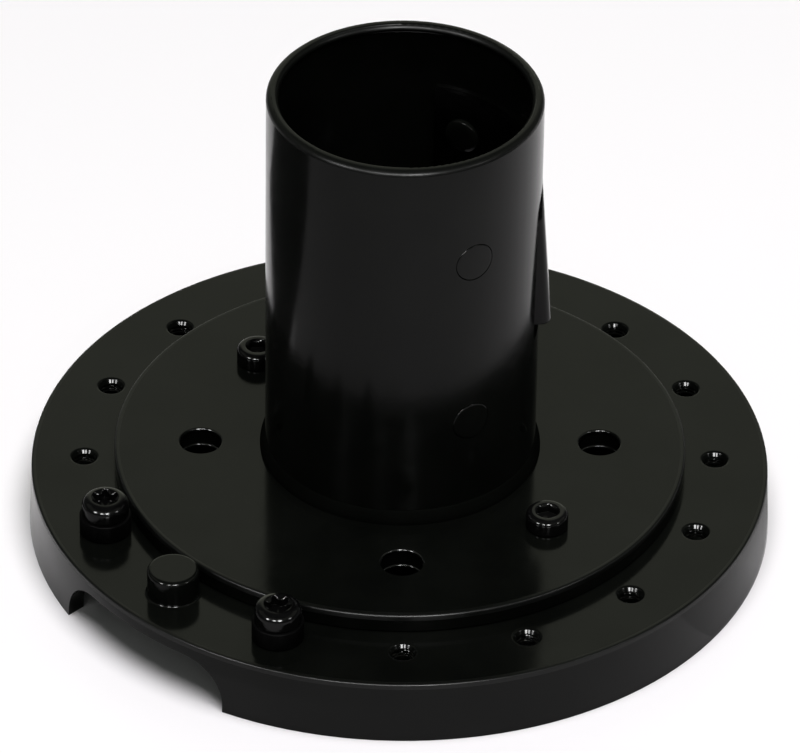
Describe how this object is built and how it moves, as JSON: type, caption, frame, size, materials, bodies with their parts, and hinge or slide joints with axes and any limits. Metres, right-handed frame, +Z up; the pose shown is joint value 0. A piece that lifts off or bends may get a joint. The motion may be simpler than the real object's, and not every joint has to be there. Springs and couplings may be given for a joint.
{
  "type": "swivel post base",
  "caption": "Low round counter base with a flanged post tube that swivels between movable end stops; a sprung catch in the tube holds a column pushed over it.",
  "frame": {"origin": "centre of the face that rests on the counter, on the swivel axis", "axes": "+Z up along the swivel axis; +X towards the catch in the tube at rest; the cable notch lies midway between -X and -Y"},
  "size_m": [0.1512, 0.1512, 0.1024],
  "materials": {
    "black_paint": "smooth glossy black paint",
    "black_screw": "black zinc plating, shiny",
    "black_rubber": "satin",
    "black_plastic": "satin moulded",
    "bearing_plastic": "natural bearing plastic",
    "grey_steel": "zinc plated, turned",
    "dark_steel": "blackened steel",
    "bright_screw": "zinc plated",
    "spring_steel": "bright spring steel"
  },
  "bodies": {
    "base": {"base_ring": "black_paint", "bearing_bush": "bearing_plastic", "upper_slip_ring": "bearing_plastic", "lower_slip_ring": "bearing_plastic", "stop_pin": "black_paint", "stop_screws": "black_screw", "stop_sleeves": "black_rubber"},
    "swivel": {"flange_plate": "black_paint", "swivel_hub": "dark_steel", "flange_screws": "black_screw", "retainer_plate": "grey_steel", "retainer_screws": "bright_screw", "wave_washer": "spring_steel", "post_tube": "black_paint", "weld_collar": "black_paint", "latch_carrier": "dark_steel", "carrier_rivets": "black_paint", "latch_pin": "bright_screw"},
    "latch": {"latch_tooth": "black_plastic", "latch_spring": "spring_steel"}
  },
  "joints": [
    {"name": "swivel", "type": "hinge", "parent": "base", "child": "swivel", "pos_m": [0, 0, 0.012], "axis": [0, 0, 1], "range_deg": [-192, 102]},
    {"name": "latch_press", "type": "hinge", "parent": "swivel", "child": "latch", "pos_m": [0.0214, 0, 0.0785], "axis": [0, 1, 0], "range_deg": [0, 6.5], "stiffness_Nm_per_rad": 2, "springref_deg": -3.44}
  ]
}
